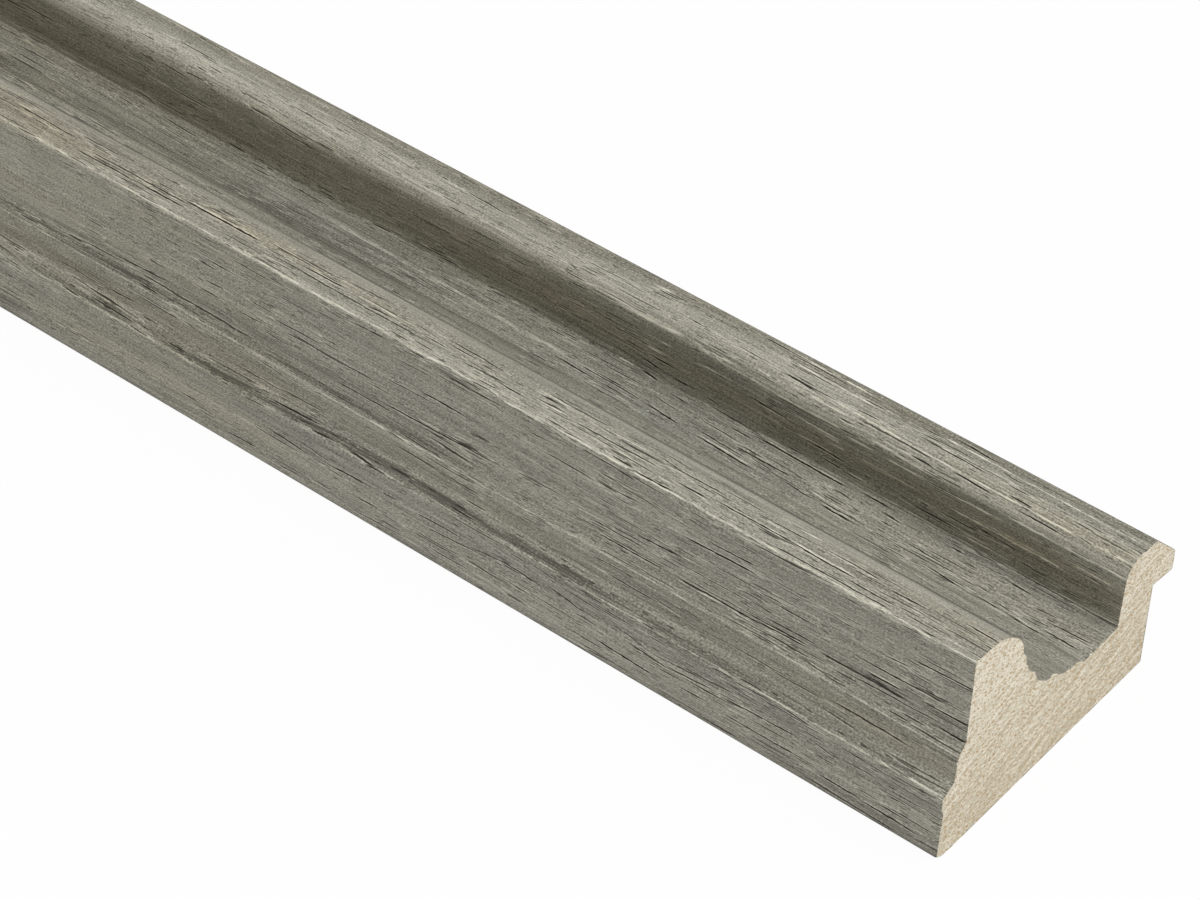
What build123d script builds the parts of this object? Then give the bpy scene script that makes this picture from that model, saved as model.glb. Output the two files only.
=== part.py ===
"""A stick of picture frame moulding: a tall rounded rim, a stepped scoop and a low lip over a rabbet.

The stick lies on its flat back along X. The section is in Y and Z: the outer face looks to -Y,
the lip that holds the picture is at +Y, and the back is at Z = 0. Millimetres.
"""
import os

from build123d import *

# The stick
length = 1220.0
width = 70.0
height = 43.8

# Rabbet for the glass, the picture and its backing, under the lip
rabbet_height = 18.9
rabbet_overhang = 6.4
ledge_fall = 0.7  # from the rabbet's wall to the lip's tip
tip_round = 0.4

# Outer face: a foot, a quirk and a flat bead, measured in from the bead and up from the back
foot_setback = 0.15
foot_round = 1.6
quirk_setback = 0.6
quirk_level = 11.4
quirk_round = 0.6
bead_rise = 1.2  # from the quirk to the bead's flat
bead_flat = 3.0
bead_round = 0.7

# Outer face: the lower step above the bead, and the plain upper face behind it
lower_setback = 3.0
lower_level = 17.3
lower_face = 5.6
lower_batter = 0.4
lower_round = 0.8
upper_setback = 5.2
upper_rise = 2.1
upper_round = 0.9

# Rim: a level top that rolls over into the scoop
rim_arris = 1.1
rim_width = 12.7
rim_roll = 12.7

# Scoop: three terraces down from the rim, placed by their nosings, which are measured in from the
# upper face and up from the floor. A ledge is behind a nosing and a riser is before it.
floor_level = 16.1
high_nosing = 20.2
high_level = 10.5
high_ledge = 2.0
high_ledge_rise = 1.6
high_riser = 1.7
high_riser_fall = 3.4
middle_nosing = 27.6
middle_level = 4.65
middle_ledge = 2.6
middle_riser = 1.3
middle_riser_fall = 1.45
low_nosing = 35.1
low_level = 1.7
low_ledge = 3.4
low_riser = 1.9
hollow_round = 3.0
nosing_round = 2.0

# Lip: its steep wall above the floor, its level top and its long fall to the sight edge
lip_top = 30.4
lip_wall = 17.3  # from the sight edge back to the wall's foot
lip_wall_batter = 0.7
lip_shoulder_round = 3.6
lip_top_width = 9.2
lip_top_round = 1.5
sight_level = 22.9
sight_round = 1.2
floor_rise = 0.4  # from the scoop's floor to the foot of the lip's wall
wall_foot_round = 0.3

# Lines of the section that its parts share
front = -width / 2
sight_edge = width / 2
rabbet_wall = sight_edge - rabbet_overhang
upper_face = front + upper_setback
bead_level = quirk_level + bead_rise
lower_top = lower_level + lower_face

# Corners of the section: across, up, and the radius that rounds the corner
outer_face = [
    (front + foot_setback, 0, foot_round),
    (front + quirk_setback, quirk_level, quirk_round),
    (front, bead_level, bead_round),
    (front, bead_level + bead_flat, bead_round),
    (front + lower_setback, lower_level, lower_round),
    (front + lower_setback + lower_batter, lower_top, lower_round),
    (upper_face, lower_top + upper_rise, upper_round),
]
rim = [
    (upper_face, height, rim_arris),
    (upper_face + rim_width, height, rim_roll),
]


def terrace(nosing, level, ledge, ledge_rise, riser, riser_fall):
    """The corners of one terrace of the scoop: its hollow, its nosing and its riser's foot."""
    across = upper_face + nosing
    up = floor_level + level
    return [
        (across - ledge, up + ledge_rise, hollow_round),
        (across, up, nosing_round),
        (across + riser, up - riser_fall, hollow_round),
    ]


scoop = [
    *terrace(high_nosing, high_level, high_ledge, high_ledge_rise, high_riser, high_riser_fall),
    *terrace(middle_nosing, middle_level, middle_ledge, 0, middle_riser, middle_riser_fall),
    *terrace(low_nosing, low_level, low_ledge, 0, low_riser, low_level),
]
lip_back = sight_edge - lip_wall
lip = [
    (lip_back, floor_level + floor_rise, wall_foot_round),
    (lip_back + lip_wall_batter, lip_top, lip_shoulder_round),
    (lip_back + lip_wall_batter + lip_top_width, lip_top, lip_top_round),
    (sight_edge, sight_level, sight_round),
    (sight_edge, rabbet_height - ledge_fall, tip_round),
]
rabbet = [
    (rabbet_wall, rabbet_height, 0),
    (rabbet_wall, 0, 0),
]
corners = outer_face + rim + scoop + lip + rabbet

with BuildPart() as moulding:
    with BuildSketch(Plane.YZ.offset(-length / 2)):
        with BuildLine():
            FilletPolyline(
                [(across, up) for across, up, _ in corners],
                radius=[radius for _, _, radius in corners],
                close=True,
            )
        make_face()
    extrude(amount=length)

moulding.part.label = "moulding"
os.makedirs("parts", exist_ok=True)
export_step(moulding.part, "parts/moulding.step")
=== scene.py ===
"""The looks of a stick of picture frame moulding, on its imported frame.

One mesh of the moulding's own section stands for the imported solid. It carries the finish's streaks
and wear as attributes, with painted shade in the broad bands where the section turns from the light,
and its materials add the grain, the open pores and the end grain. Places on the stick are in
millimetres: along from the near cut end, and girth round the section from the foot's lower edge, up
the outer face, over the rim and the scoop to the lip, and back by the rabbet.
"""

import math

import bpy
import numpy as np
from mathutils import Matrix, Vector
from mathutils.geometry import delaunay_2d_cdt


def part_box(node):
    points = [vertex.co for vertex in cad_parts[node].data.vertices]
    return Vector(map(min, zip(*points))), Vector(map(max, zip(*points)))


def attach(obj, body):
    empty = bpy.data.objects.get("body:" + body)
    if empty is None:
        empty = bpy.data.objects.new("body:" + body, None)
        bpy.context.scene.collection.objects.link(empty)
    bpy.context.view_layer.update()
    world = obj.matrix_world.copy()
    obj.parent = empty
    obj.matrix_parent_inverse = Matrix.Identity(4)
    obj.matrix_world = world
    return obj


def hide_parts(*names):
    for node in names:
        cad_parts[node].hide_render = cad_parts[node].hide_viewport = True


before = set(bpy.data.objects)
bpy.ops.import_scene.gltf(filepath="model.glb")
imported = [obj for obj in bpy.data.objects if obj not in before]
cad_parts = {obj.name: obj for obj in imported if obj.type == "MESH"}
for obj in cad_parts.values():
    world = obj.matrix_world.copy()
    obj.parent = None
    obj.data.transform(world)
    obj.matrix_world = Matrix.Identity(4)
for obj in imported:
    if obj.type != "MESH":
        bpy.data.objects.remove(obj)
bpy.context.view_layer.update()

MM = 0.001

# The stick's size, from the frame
LOW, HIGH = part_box("moulding")
NEAR_END = HIGH[0]
LENGTH = (HIGH[0] - LOW[0]) / MM
FRONT = LOW[1] / MM
SIGHT_EDGE = HIGH[1] / MM
HEIGHT = HIGH[2] / MM

# The section's sizes, the same as the solid's. The outer face: its foot, its quirk and its flat bead,
# then the lower step and the plain upper face
FOOT_SETBACK = 0.15
FOOT_ROUND = 1.6
QUIRK_SETBACK = 0.6
QUIRK_LEVEL = 11.4
QUIRK_ROUND = 0.6
BEAD_LEVEL = QUIRK_LEVEL + 1.2
BEAD_FLAT = 3.0
BEAD_ROUND = 0.7
LOWER_SETBACK = 3.0
LOWER_LEVEL = 17.3
LOWER_TOP = LOWER_LEVEL + 5.6
LOWER_BATTER = 0.4
LOWER_ROUND = 0.8
UPPER_FACE = FRONT + 5.2
UPPER_RISE = 2.1
UPPER_ROUND = 0.9

# The rim
RIM_ARRIS = 1.1
RIM_WIDTH = 12.7
RIM_ROLL = 12.7

# The scoop's floor, and its terraces: nosing, level, ledge, the ledge's rise, riser, the riser's fall
FLOOR_LEVEL = 16.1
TERRACES = [(20.2, 10.5, 2.0, 1.6, 1.7, 3.4), (27.6, 4.65, 2.6, 0, 1.3, 1.45), (35.1, 1.7, 3.4, 0, 1.9, 1.7)]
HOLLOW_ROUND = 3.0
NOSING_ROUND = 2.0

# The lip
LIP_TOP = 30.4
LIP_BACK = SIGHT_EDGE - 17.3
LIP_WALL_BATTER = 0.7
LIP_SHOULDER_ROUND = 3.6
LIP_TOP_WIDTH = 9.2
LIP_TOP_ROUND = 1.5
SIGHT_LEVEL = 22.9
SIGHT_ROUND = 1.2
FLOOR_RISE = 0.4
WALL_FOOT_ROUND = 0.3

# The rabbet, and the lip's tip over it
RABBET_HEIGHT = 18.9
RABBET_WALL = SIGHT_EDGE - 6.4
LEDGE_FALL = 0.7
TIP_ROUND = 0.4


def terrace(nosing, level, ledge, ledge_rise, riser, riser_fall):
    """The corners of one terrace of the scoop: its hollow, its nosing and its riser's foot."""
    across = UPPER_FACE + nosing
    up = FLOOR_LEVEL + level
    return [
        (across - ledge, up + ledge_rise, HOLLOW_ROUND),
        (across, up, NOSING_ROUND),
        (across + riser, up - riser_fall, HOLLOW_ROUND),
    ]


# Corners of the section: across, up, and the radius that rounds the corner
OUTER_FACE = [
    (FRONT + FOOT_SETBACK, 0, FOOT_ROUND),
    (FRONT + QUIRK_SETBACK, QUIRK_LEVEL, QUIRK_ROUND),
    (FRONT, BEAD_LEVEL, BEAD_ROUND),
    (FRONT, BEAD_LEVEL + BEAD_FLAT, BEAD_ROUND),
    (FRONT + LOWER_SETBACK, LOWER_LEVEL, LOWER_ROUND),
    (FRONT + LOWER_SETBACK + LOWER_BATTER, LOWER_TOP, LOWER_ROUND),
    (UPPER_FACE, LOWER_TOP + UPPER_RISE, UPPER_ROUND),
]
RIM = [(UPPER_FACE, HEIGHT, RIM_ARRIS), (UPPER_FACE + RIM_WIDTH, HEIGHT, RIM_ROLL)]
SCOOP = [corner for sizes in TERRACES for corner in terrace(*sizes)]
LIP = [
    (LIP_BACK, FLOOR_LEVEL + FLOOR_RISE, WALL_FOOT_ROUND),
    (LIP_BACK + LIP_WALL_BATTER, LIP_TOP, LIP_SHOULDER_ROUND),
    (LIP_BACK + LIP_WALL_BATTER + LIP_TOP_WIDTH, LIP_TOP, LIP_TOP_ROUND),
    (SIGHT_EDGE, SIGHT_LEVEL, SIGHT_ROUND),
    (SIGHT_EDGE, RABBET_HEIGHT - LEDGE_FALL, TIP_ROUND),
]
RABBET = [(RABBET_WALL, RABBET_HEIGHT, 0), (RABBET_WALL, 0, 0)]
CORNERS = OUTER_FACE + RIM + SCOOP + LIP + RABBET

# How finely the mesh follows the section. The streaks need the fine step where the photograph
# shows them.
FINE_STEP = 0.3
PLAIN_STEP = 1.0
RAW_STEP = 3.5
SHOWN_GIRTHS = [(0, 62), (96, 130)]
FINISHED_GIRTH = 145

# Stations along the stick: each run's end and the step up to it
STATION_RUNS = [(0.5, 0.5), (6, 1.1), (230, 1.9), (290, 2.5), (LENGTH - 6, 20), (LENGTH - 0.5, 2)]

# The photograph's camera, in metres and as directions in the part's frame
CAMERA_AT = Vector((NEAR_END + 0.23009, -0.43299, 0.49715))
CAMERA_RIGHT = Vector((0.778058, 0.627560, 0.028186))
CAMERA_UP = Vector((-0.434300, 0.504949, 0.745929))
LENS_MM = 118.887
SENSOR_MM = 36.0

# Dark open pores that stand out: start, end, girth at the start, girth at the end, width, depth of
# colour
PORES = [
    (9, 27, 2.6, 3.0, 0.4, 0.6), (43, 50, 2.7, 2.7, 0.4, 0.6), (50, 60, 3.1, 3.2, 0.3, 0.4),
    (5, 15, 4.7, 5.0, 0.35, 0.9), (17, 25, 5.2, 5.4, 0.35, 0.8), (8, 12, 6.4, 6.5, 0.3, 0.9),
    (29, 45, 6.6, 6.3, 0.3, 0.7), (50, 55, 6.8, 6.6, 0.3, 0.7), (62, 74, 5.7, 6.2, 0.35, 0.9),
    (70, 78, 3.2, 3.4, 0.3, 0.5), (97, 104, 6.9, 7.3, 0.4, 0.6), (90, 94, 7.4, 7.8, 0.3, 0.5),
    (31, 45, 10.7, 10.0, 0.3, 0.7), (48, 58, 10.3, 9.5, 0.3, 0.7), (58, 67, 9.2, 9.9, 0.3, 0.7),
    (52, 61, 11.3, 10.5, 0.3, 0.6), (47, 54, 11.9, 11.5, 0.3, 0.6), (63, 68, 10.7, 11.8, 0.3, 0.7),
    (78, 85, 10.9, 12.1, 0.3, 0.8), (88, 96, 11.2, 11.7, 0.35, 0.7), (96, 103, 11.5, 10.6, 0.3, 0.6),
    (103, 113, 10.2, 9.3, 0.3, 0.7), (22, 27, 11.1, 11.9, 0.3, 0.6), (15, 20, 11.9, 11.6, 0.3, 0.6),
    (5, 11, 11.0, 10.9, 0.3, 0.5), (126, 131, 6.9, 6.7, 0.35, 0.7), (120, 131, 3.7, 3.2, 0.3, 0.5),
    (146, 149, 3.8, 3.6, 0.3, 0.6), (155, 163, 4.6, 4.3, 0.3, 0.7), (129, 137, 11.0, 10.7, 0.35, 0.8),
    (143, 152, 10.2, 10.8, 0.35, 0.7), (138, 143, 11.4, 11.9, 0.3, 0.6), (171, 174, 7.2, 7.2, 0.3, 0.7),
    (2, 10, 15.9, 15.6, 0.3, 0.6), (16, 20, 14.9, 15.1, 0.3, 0.7), (27, 33, 15.8, 16.3, 0.3, 0.7),
    (36, 43, 16.3, 16.1, 0.3, 0.6), (0, 6, 14.1, 14.0, 0.3, 0.5), (69, 76, 14.6, 14.8, 0.3, 0.5),
    (40, 47, 14.2, 14.7, 0.3, 0.5), (83, 88, 15.2, 15.8, 0.3, 0.5), (97, 108, 16.4, 16.1, 0.3, 0.5),
    (0, 9, 18.2, 18.0, 0.3, 0.5), (2, 12, 19.0, 18.9, 0.3, 0.5), (20, 27, 19.5, 19.9, 0.3, 0.5),
    (10, 25, 22.2, 22.4, 0.4, 0.7), (36, 50, 21.9, 21.8, 0.3, 0.4), (57, 64, 21.9, 22.5, 0.3, 0.4),
    (105, 112, 23.0, 23.2, 0.4, 0.5), (114, 123, 23.2, 23.4, 0.35, 0.6), (143, 147, 21.5, 21.3, 0.3, 0.5),
    (155, 161, 21.0, 20.8, 0.3, 0.6), (189, 195, 21.8, 21.5, 0.3, 0.7), (198, 208, 21.2, 21.4, 0.3, 0.5),
    (150, 157, 24.3, 24.9, 0.3, 0.6), (171, 176, 23.2, 23.9, 0.3, 0.5), (0, 10, 26.3, 26.5, 0.3, 0.6),
    (27, 33, 26.5, 27.0, 0.25, 0.6), (36, 50, 26.8, 26.6, 0.25, 0.5), (60, 72, 26.5, 26.6, 0.25, 0.4),
    (0, 5, 28.4, 28.5, 0.35, 0.9), (6, 23, 29.5, 29.0, 0.3, 0.7), (12, 30, 30.4, 30.1, 0.5, 0.7),
    (14, 20, 31.9, 31.7, 0.35, 1.0), (17, 20, 30.8, 30.7, 0.5, 0.7), (33, 43, 29.5, 29.0, 0.35, 0.8),
    (43, 60, 28.8, 28.6, 0.35, 0.9), (33, 45, 30.1, 29.6, 0.3, 0.8), (45, 58, 29.7, 29.4, 0.25, 0.6),
    (65, 77, 28.5, 28.5, 0.3, 0.9), (70, 77, 29.1, 29.0, 0.3, 0.7), (31, 41, 31.3, 31.0, 0.3, 0.7),
    (0, 8, 32.4, 32.1, 0.35, 0.9), (69, 79, 31.1, 30.8, 0.3, 0.8), (103, 120, 31.0, 30.5, 0.35, 0.8),
    (5, 22, 34.4, 33.9, 0.35, 0.7), (4, 10, 35.1, 34.9, 0.3, 0.7), (33, 40, 35.4, 35.3, 0.3, 0.8),
    (46, 58, 32.4, 32.1, 0.25, 0.6), (61, 69, 33.8, 33.1, 0.4, 0.9), (13, 17, 38.1, 37.7, 0.3, 0.7),
    (0, 11, 40.8, 40.2, 0.35, 0.9), (45, 59, 39.4, 38.9, 0.4, 0.9), (45, 54, 41.2, 40.8, 0.3, 0.8),
    (24, 28, 39.7, 39.6, 0.25, 0.6), (70, 76, 40.7, 40.5, 0.3, 0.7), (45, 48, 43.9, 43.9, 0.3, 0.6),
    (91, 95, 43.0, 42.9, 0.3, 0.6), (101, 113, 45.1, 45.0, 0.35, 0.7), (109, 119, 38.0, 38.1, 0.35, 0.8),
    (107, 116, 28.0, 28.4, 0.35, 0.7), (113, 119, 29.8, 29.7, 0.3, 0.6), (118, 127, 30.6, 30.3, 0.35, 0.9),
    (127, 139, 29.2, 29.0, 0.3, 0.8), (131, 151, 34.3, 34.0, 0.35, 0.6), (139, 150, 33.8, 34.5, 0.35, 0.6),
    (116, 128, 36.9, 36.4, 0.3, 0.5), (127, 132, 33.2, 33.0, 0.3, 0.6), (158, 163, 32.9, 32.5, 0.3, 0.6),
    (168, 173, 33.1, 33.0, 0.3, 0.6), (161, 188, 27.9, 28.2, 0.35, 0.6), (182, 194, 29.9, 29.2, 0.35, 0.7),
    (166, 171, 40.9, 40.8, 0.35, 0.7), (118, 124, 42.8, 42.5, 0.3, 0.6), (178, 182, 40.3, 40.2, 0.3, 0.5),
    (128, 135, 45.6, 45.3, 0.35, 0.7), (168, 173, 45.7, 45.6, 0.3, 0.5), (126, 133, 16.9, 17.4, 0.4, 0.7),
    (8, 11, 47.3, 47.2, 0.25, 0.7), (8, 11, 48.9, 48.9, 0.25, 0.7), (18, 41, 47.6, 47.5, 0.25, 0.7),
    (10, 15, 48.4, 48.3, 0.25, 0.8), (18, 27, 48.9, 48.9, 0.3, 0.8), (28, 40, 49.9, 50.0, 0.3, 0.9),
    (40, 55, 50.1, 50.0, 0.3, 0.8), (13, 23, 50.3, 50.1, 0.25, 0.5), (14, 20, 51.7, 51.5, 0.35, 0.9),
    (22, 28, 51.6, 51.7, 0.25, 0.7), (24, 33, 52.6, 52.7, 0.3, 0.9), (0, 6, 53.3, 53.4, 0.4, 0.8),
    (19, 26, 53.4, 53.3, 0.3, 0.6), (38, 48, 52.4, 52.1, 0.3, 0.7), (51, 53, 50.6, 50.7, 0.3, 0.7),
    (58, 63, 49.4, 49.4, 0.35, 0.9), (56, 67, 52.2, 52.1, 0.35, 0.7), (66, 70, 52.3, 52.7, 0.3, 0.7),
    (48, 56, 53.4, 53.4, 0.3, 0.6), (70, 86, 50.2, 50.1, 0.3, 0.7), (91, 95, 50.8, 50.6, 0.35, 0.9),
    (92, 96, 51.9, 51.8, 0.35, 0.8), (83, 91, 53.3, 53.1, 0.4, 0.6), (64, 71, 47.1, 47.0, 0.25, 0.9),
    (98, 104, 49.3, 49.5, 0.35, 0.7), (103, 111, 50.0, 49.6, 0.35, 0.7), (84, 87, 47.1, 47.0, 0.25, 0.7),
    (89, 92, 54.0, 54.0, 0.4, 0.6), (64, 70, 54.0, 54.4, 0.4, 0.5), (112, 116, 51.8, 51.8, 0.35, 0.8),
    (123, 150, 49.6, 49.7, 0.35, 0.6), (142, 150, 51.3, 51.1, 0.35, 0.9), (163, 180, 51.3, 51.1, 0.4, 0.9),
    (180, 200, 50.6, 50.4, 0.35, 0.7), (180, 189, 49.4, 49.3, 0.35, 0.8),
    (192, 206, 49.2, 49.1, 0.35, 0.7), (210, 224, 51.6, 51.7, 0.35, 0.7),
    (150, 159, 52.1, 52.3, 0.35, 0.6), (133, 142, 54.1, 53.4, 0.5, 0.5), (117, 121, 50.6, 50.5, 0.3, 0.7),
    (130, 134, 50.5, 50.4, 0.35, 0.8), (127, 137, 51.7, 51.6, 0.3, 0.5), (3, 9, 98.8, 98.9, 0.35, 0.8),
    (9, 16, 97.8, 98.0, 0.3, 0.8), (27, 34, 98.3, 99.0, 0.35, 0.8), (18, 23, 98.2, 98.4, 0.3, 0.7),
    (17, 20, 99.0, 99.3, 0.3, 0.7), (23, 25, 100.5, 100.6, 0.35, 0.9), (52, 58, 99.4, 99.7, 0.4, 1.0),
    (51, 59, 100.3, 100.4, 0.25, 0.7), (33, 40, 101.1, 101.4, 0.3, 0.7), (61, 67, 99.8, 100.2, 0.3, 0.7),
    (75, 86, 99.2, 99.8, 0.35, 0.9), (92, 99, 100.2, 100.7, 0.4, 0.9), (78, 87, 100.7, 101.2, 0.3, 0.7),
    (2, 5, 100.7, 100.8, 0.25, 0.7), (68, 79, 102.0, 102.1, 0.35, 0.8), (60, 61, 101.4, 101.6, 0.4, 0.8),
    (17, 21, 104.7, 104.9, 0.35, 0.9), (28, 30, 103.9, 104.1, 0.35, 0.7),
    (31, 34, 105.4, 105.6, 0.35, 0.8), (45, 48, 104.8, 105.0, 0.4, 0.9), (58, 77, 106.1, 106.5, 0.4, 0.9),
    (80, 88, 103.3, 103.7, 0.3, 0.6), (79, 83, 105.5, 105.6, 0.35, 0.7), (48, 54, 106.6, 106.8, 0.35, 0.8),
    (95, 99, 102.9, 103.3, 0.3, 0.6), (94, 97, 105.4, 105.7, 0.35, 0.8),
    (102, 106, 107.1, 107.4, 0.35, 0.8), (102, 115, 100.9, 101.3, 0.3, 0.7),
    (112, 120, 100.0, 100.2, 0.35, 0.8), (9, 17, 106.7, 106.7, 0.3, 0.5), (0, 8, 107.4, 107.5, 0.3, 0.5),
    (8, 22, 107.6, 107.7, 0.3, 0.5), (17, 20, 110.1, 110.2, 0.35, 0.7), (22, 25, 112.3, 112.5, 0.35, 0.7),
    (27, 30, 112.5, 112.6, 0.4, 0.8), (60, 67, 111.3, 111.6, 0.4, 0.9), (60, 64, 109.3, 109.7, 0.35, 0.7),
    (95, 98, 109.4, 109.5, 0.4, 0.8), (102, 106, 109.8, 110.1, 0.4, 0.8),
    (99, 104, 111.7, 111.9, 0.35, 0.8), (106, 109, 111.9, 112.3, 0.35, 0.7),
    (74, 81, 114.0, 114.4, 0.35, 0.7), (4, 8, 114.8, 114.9, 0.3, 0.6), (88, 91, 108.9, 109.0, 0.35, 0.7),
    (69, 71, 107.9, 107.9, 0.35, 0.8), (14, 23, 120.2, 120.3, 0.25, 0.7), (30, 37, 120.7, 121.0, 0.3, 0.9),
    (43, 58, 121.2, 121.5, 0.3, 0.6), (69, 76, 122.3, 122.6, 0.35, 0.9), (70, 74, 123.0, 123.2, 0.3, 0.6),
    (33, 46, 123.9, 124.3, 0.3, 0.7), (82, 86, 122.8, 123.0, 0.3, 0.6), (95, 98, 123.2, 123.4, 0.3, 0.7),
    (33, 40, 127.6, 127.9, 0.4, 0.8), (26, 30, 125.8, 126.0, 0.3, 0.5), (66, 77, 127.4, 127.5, 0.3, 0.6),
    (65, 76, 126.2, 126.4, 0.3, 0.5), (59, 62, 120.0, 119.9, 0.3, 0.7), (78, 80, 119.9, 120.0, 0.25, 0.7),
    (110, 114, 123.6, 123.8, 0.3, 0.6),
]

# Pale lines, where the stain is rubbed through or the grain stands proud: as for the pores
PALE_LINES = [
    (0, 60, 16.9, 16.7, 0.3, 0.5), (60, 112, 16.9, 17.2, 0.25, 0.4), (112, 150, 17.0, 16.8, 0.25, 0.15),
    (170, 215, 16.7, 16.8, 0.3, 0.3), (0, 30, 25.7, 25.9, 0.25, 0.4), (30, 112, 25.9, 25.5, 0.25, 0.4),
    (112, 130, 25.8, 25.6, 0.3, 0.6), (130, 180, 25.5, 26.1, 0.3, 0.35), (180, 224, 25.8, 25.7, 0.25, 0.3),
    (14, 21, 32.2, 32.1, 0.25, 0.8), (33, 60, 28.4, 28.2, 0.25, 0.5), (33, 44, 29.7, 29.2, 0.25, 0.5),
    (66, 78, 28.8, 28.8, 0.25, 0.6), (3, 17, 5.4, 5.3, 0.25, 0.4), (0, 60, 107.9, 108.0, 0.3, 0.6),
    (8, 12, 46.9, 46.8, 0.25, 0.7), (18, 25, 46.7, 46.6, 0.4, 1.0), (18, 24, 47.2, 47.1, 0.25, 0.7),
    (60, 87, 46.8, 46.8, 0.35, 1.0), (92, 100, 46.6, 46.5, 0.35, 0.9), (115, 122, 46.8, 46.7, 0.35, 0.8),
    (33, 58, 46.8, 46.8, 0.3, 0.7), (140, 155, 46.7, 46.7, 0.3, 0.7), (178, 186, 46.6, 46.6, 0.35, 0.8),
    (28, 40, 50.3, 50.3, 0.3, 0.9), (14, 20, 51.2, 51.1, 0.25, 0.7), (24, 33, 52.2, 52.3, 0.25, 0.6),
    (40, 46, 50.4, 50.3, 0.25, 0.6), (37, 43, 54.1, 54.2, 0.35, 0.7), (42, 48, 51.7, 51.5, 0.25, 0.6),
    (58, 62, 49.0, 49.0, 0.25, 0.6), (90, 95, 50.4, 50.3, 0.25, 0.8), (73, 80, 52.5, 52.3, 0.25, 0.7),
    (86, 97, 52.8, 52.8, 0.3, 0.6), (163, 180, 51.7, 51.5, 0.3, 0.7), (140, 150, 50.9, 50.7, 0.25, 0.6),
    (126, 139, 51.3, 51.4, 0.25, 0.6), (210, 217, 50.7, 51.0, 0.3, 0.6), (221, 225, 52.2, 52.3, 0.4, 0.8),
    (52, 58, 99.9, 100.2, 0.25, 0.7), (75, 86, 99.7, 100.2, 0.3, 0.9), (50, 62, 100.8, 101.2, 0.25, 0.6),
    (59, 62, 101.1, 101.3, 0.3, 0.7), (9, 16, 98.2, 98.4, 0.25, 0.6), (27, 34, 97.9, 98.5, 0.25, 0.6),
    (58, 77, 106.6, 106.8, 0.25, 0.5), (103, 113, 107.4, 107.6, 0.3, 0.6),
    (120, 180, 101.6, 103.2, 0.9, 0.3), (180, 260, 103.2, 103.6, 1.3, 0.15),
    (13, 36, 113.6, 113.7, 0.35, 0.9), (3, 11, 115.6, 115.8, 0.35, 0.9), (24, 32, 109.2, 109.3, 0.35, 0.8),
    (27, 51, 116.8, 117.0, 0.35, 1.0), (54, 59, 117.1, 117.2, 0.4, 0.9), (60, 65, 114.8, 114.9, 0.35, 0.9),
    (62, 72, 115.4, 115.8, 0.35, 0.8), (86, 92, 115.8, 115.8, 0.35, 0.9), (45, 56, 113.8, 113.9, 0.3, 0.6),
    (55, 58, 109.4, 109.5, 0.35, 0.7), (100, 102, 116.2, 116.1, 0.35, 0.7),
    (64, 68, 111.9, 112.0, 0.35, 0.6), (102, 106, 113.4, 113.5, 0.35, 0.6),
    (17, 28, 114.3, 114.4, 0.3, 0.4), (0, 5, 118.4, 118.4, 0.4, 1.0), (8, 13, 118.4, 118.4, 0.45, 1.2),
    (14, 23, 118.4, 118.4, 0.45, 1.2), (41, 46, 118.7, 118.6, 0.45, 1.2), (46, 54, 118.7, 119.2, 0.4, 1.0),
    (62, 76, 118.2, 118.1, 0.4, 0.9), (76, 81, 118.2, 118.5, 0.45, 1.1), (84, 88, 118.5, 118.6, 0.35, 0.8),
    (89, 93, 119.0, 119.0, 0.4, 0.9), (99, 110, 119.6, 119.3, 0.45, 1.1), (86, 90, 119.4, 119.5, 0.3, 0.8),
    (58, 62, 119.8, 119.7, 0.35, 0.8), (110, 116, 119.9, 119.9, 0.35, 0.8),
    (12, 36, 121.3, 121.4, 0.3, 0.9), (36, 65, 121.5, 122.2, 0.3, 0.7), (3, 30, 126.4, 126.8, 0.3, 0.8),
    (30, 43, 126.9, 127.0, 0.4, 1.0), (57, 78, 125.6, 126.0, 0.3, 0.7), (60, 77, 127.9, 128.0, 0.35, 0.8),
    (0, 6, 121.4, 121.4, 0.3, 0.6), (61, 73, 120.9, 121.0, 0.3, 0.6), (106, 109, 127.0, 126.9, 0.35, 0.8),
    (-5, LENGTH + 5, 46.9, 46.9, 0.25, 0.6), (76, 81, 120.7, 120.8, 0.3, 0.6),
    (25, 48, 125.0, 124.9, 0.4, 0.4),
]
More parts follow.
